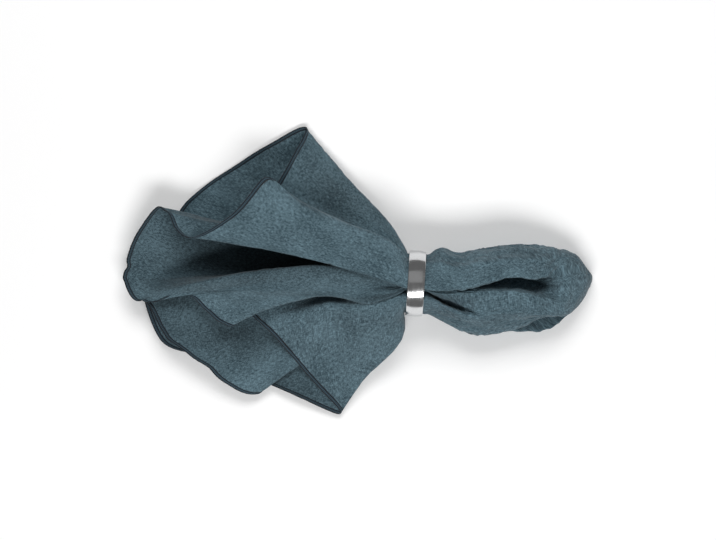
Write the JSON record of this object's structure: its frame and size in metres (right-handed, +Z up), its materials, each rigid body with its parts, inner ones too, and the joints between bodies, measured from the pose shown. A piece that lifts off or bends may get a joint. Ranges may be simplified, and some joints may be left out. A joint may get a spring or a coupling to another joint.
{
  "type": "linen napkin in a ring",
  "caption": "Square linen napkin drawn up by its middle through a polished metal ring, fanned out in loose folds on one side with a rounded lobe on the other.",
  "frame": {"origin": "On the table, under the middle of the part's bounding box.", "axes": "+Z is up from the table. +X runs along the ring's axis from the fanned hems to the rounded lobe. +Y is the top edge of the picture."},
  "size_m": [0.2989, 0.1842, 0.042],
  "materials": {
    "linen": "matt slate blue linen in plain weave with an overlocked hem",
    "ring_metal": "polished stainless steel with softly rounded rims"
  },
  "bodies": {
    "root": {"napkin": "linen", "ring": "ring_metal"}
  },
  "joints": []
}
